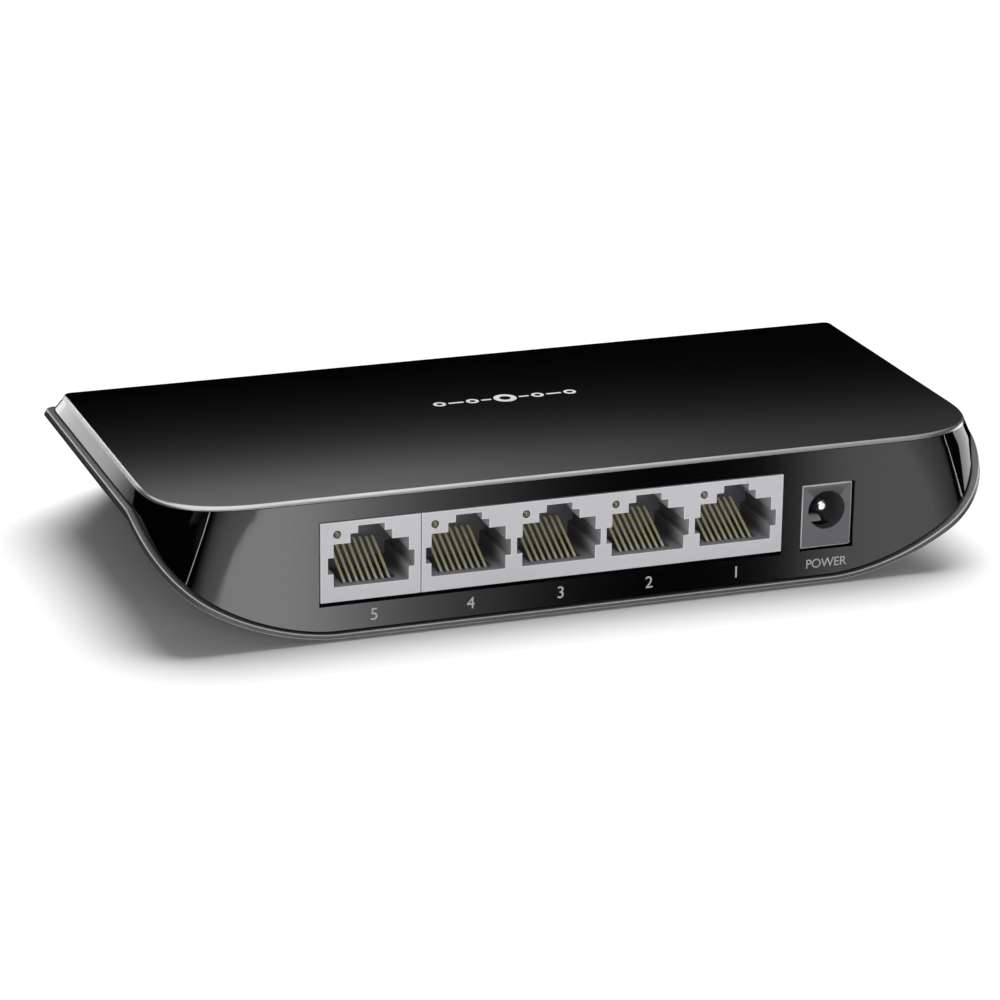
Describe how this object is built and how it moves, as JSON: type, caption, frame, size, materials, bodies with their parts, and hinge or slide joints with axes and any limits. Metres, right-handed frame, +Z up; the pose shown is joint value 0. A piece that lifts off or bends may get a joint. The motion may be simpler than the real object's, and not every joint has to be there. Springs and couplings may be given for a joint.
{
  "type": "desktop network switch",
  "caption": "Small gloss black desktop network switch with a row of modular jacks and a round power inlet in its rear wall, on a shallow hull-shaped base.",
  "frame": {"origin": "on the desk, under the middle of the body's box", "axes": "+X to the right seen from the port side, +Y from the port side towards the sloping front, +Z up"},
  "size_m": [0.14, 0.088, 0.023],
  "materials": {
    "cover_gloss": "high gloss, black, moulded",
    "panel_gloss": "gloss, black, moulded, faintly pale lettering",
    "base_satin": "satin, charcoal, moulded",
    "foot_rubber": "matte, fine grain",
    "screw_steel": "bright, zinc plated",
    "label_film": "matte silver film, no print",
    "light_lens": "clear, frosted inside",
    "board_green": "solder mask over woven laminate",
    "jack_grey": "satin light grey, moulded",
    "contact_gold": "gold plated",
    "led_lens": "olive green, translucent",
    "chip_black": "fine matte epoxy",
    "inlet_grey": "satin mid grey, moulded",
    "inlet_metal": "bright nickel",
    "thermal_pad": "soft, matte",
    "sink_black": "black anodised",
    "can_metal": "bright, drawn",
    "ferrite": "sintered, matte",
    "fuse_ceramic": "glazed"
  },
  "bodies": {
    "switch": {"top_cover": "cover_gloss", "rear_panel": "panel_gloss", "base_tray": "base_satin", "rubber_foot_1": "foot_rubber", "rubber_foot_2": "foot_rubber", "rubber_foot_3": "foot_rubber", "rubber_foot_4": "foot_rubber", "case_screw_1": "screw_steel", "case_screw_2": "screw_steel", "rating_label": "label_film", "light_pipe": "light_lens", "circuit_board": "board_green", "board_screw_1": "screw_steel", "board_screw_2": "screw_steel", "board_screw_3": "screw_steel", "ethernet_jack_ports_1_to_4": "jack_grey", "ethernet_jack_port_5": "jack_grey", "port_led_1": "led_lens", "line_transformer_1": "chip_black", "port_led_2": "led_lens", "line_transformer_2": "chip_black", "port_led_3": "led_lens", "line_transformer_3": "chip_black", "port_led_4": "led_lens", "line_transformer_4": "chip_black", "port_led_5": "led_lens", "line_transformer_5": "chip_black", "power_inlet_body": "inlet_grey", "power_inlet_pin": "inlet_metal", "switch_chip": "chip_black", "thermal_pad": "thermal_pad", "heat_sink": "sink_black", "crystal": "can_metal", "settings_memory_chip": "chip_black", "regulator_chip": "chip_black", "power_inductor": "ferrite", "input_fuse": "fuse_ceramic", "input_capacitor": "can_metal", "output_capacitor": "can_metal", "power_led": "led_lens"},
    "port_1_contacts": {"contact_set_port_1": "contact_gold"},
    "port_2_contacts": {"contact_set_port_2": "contact_gold"},
    "port_3_contacts": {"contact_set_port_3": "contact_gold"},
    "port_4_contacts": {"contact_set_port_4": "contact_gold"},
    "port_5_contacts": {"contact_set_port_5": "contact_gold"},
    "inlet_contact": {"power_inlet_leaf": "inlet_metal"}
  },
  "joints": [
    {"name": "port_1_contacts_flex", "type": "hinge", "parent": "switch", "child": "port_1_contacts", "pos_m": [0.0241, -0.0412, 0.0082], "axis": [-1, 0, 0], "range_deg": [0, 9], "stiffness_Nm_per_rad": 0.02, "springref_deg": -2.86},
    {"name": "port_2_contacts_flex", "type": "hinge", "parent": "switch", "child": "port_2_contacts", "pos_m": [0.0094, -0.0412, 0.0082], "axis": [-1, 0, 0], "range_deg": [0, 9], "stiffness_Nm_per_rad": 0.02, "springref_deg": -2.86},
    {"name": "port_3_contacts_flex", "type": "hinge", "parent": "switch", "child": "port_3_contacts", "pos_m": [-0.0053, -0.0412, 0.0082], "axis": [-1, 0, 0], "range_deg": [0, 9], "stiffness_Nm_per_rad": 0.02, "springref_deg": -2.86},
    {"name": "port_4_contacts_flex", "type": "hinge", "parent": "switch", "child": "port_4_contacts", "pos_m": [-0.02, -0.0412, 0.0082], "axis": [-1, 0, 0], "range_deg": [0, 9], "stiffness_Nm_per_rad": 0.02, "springref_deg": -2.86},
    {"name": "port_5_contacts_flex", "type": "hinge", "parent": "switch", "child": "port_5_contacts", "pos_m": [-0.03555, -0.0412, 0.0082], "axis": [-1, 0, 0], "range_deg": [0, 9], "stiffness_Nm_per_rad": 0.02, "springref_deg": -2.86},
    {"name": "inlet_contact_flex", "type": "hinge", "parent": "switch", "child": "inlet_contact", "pos_m": [0.04, -0.0317, 0.0074], "axis": [1, 0, 0], "range_deg": [0, 5], "stiffness_Nm_per_rad": 0.02, "springref_deg": -2.86}
  ]
}
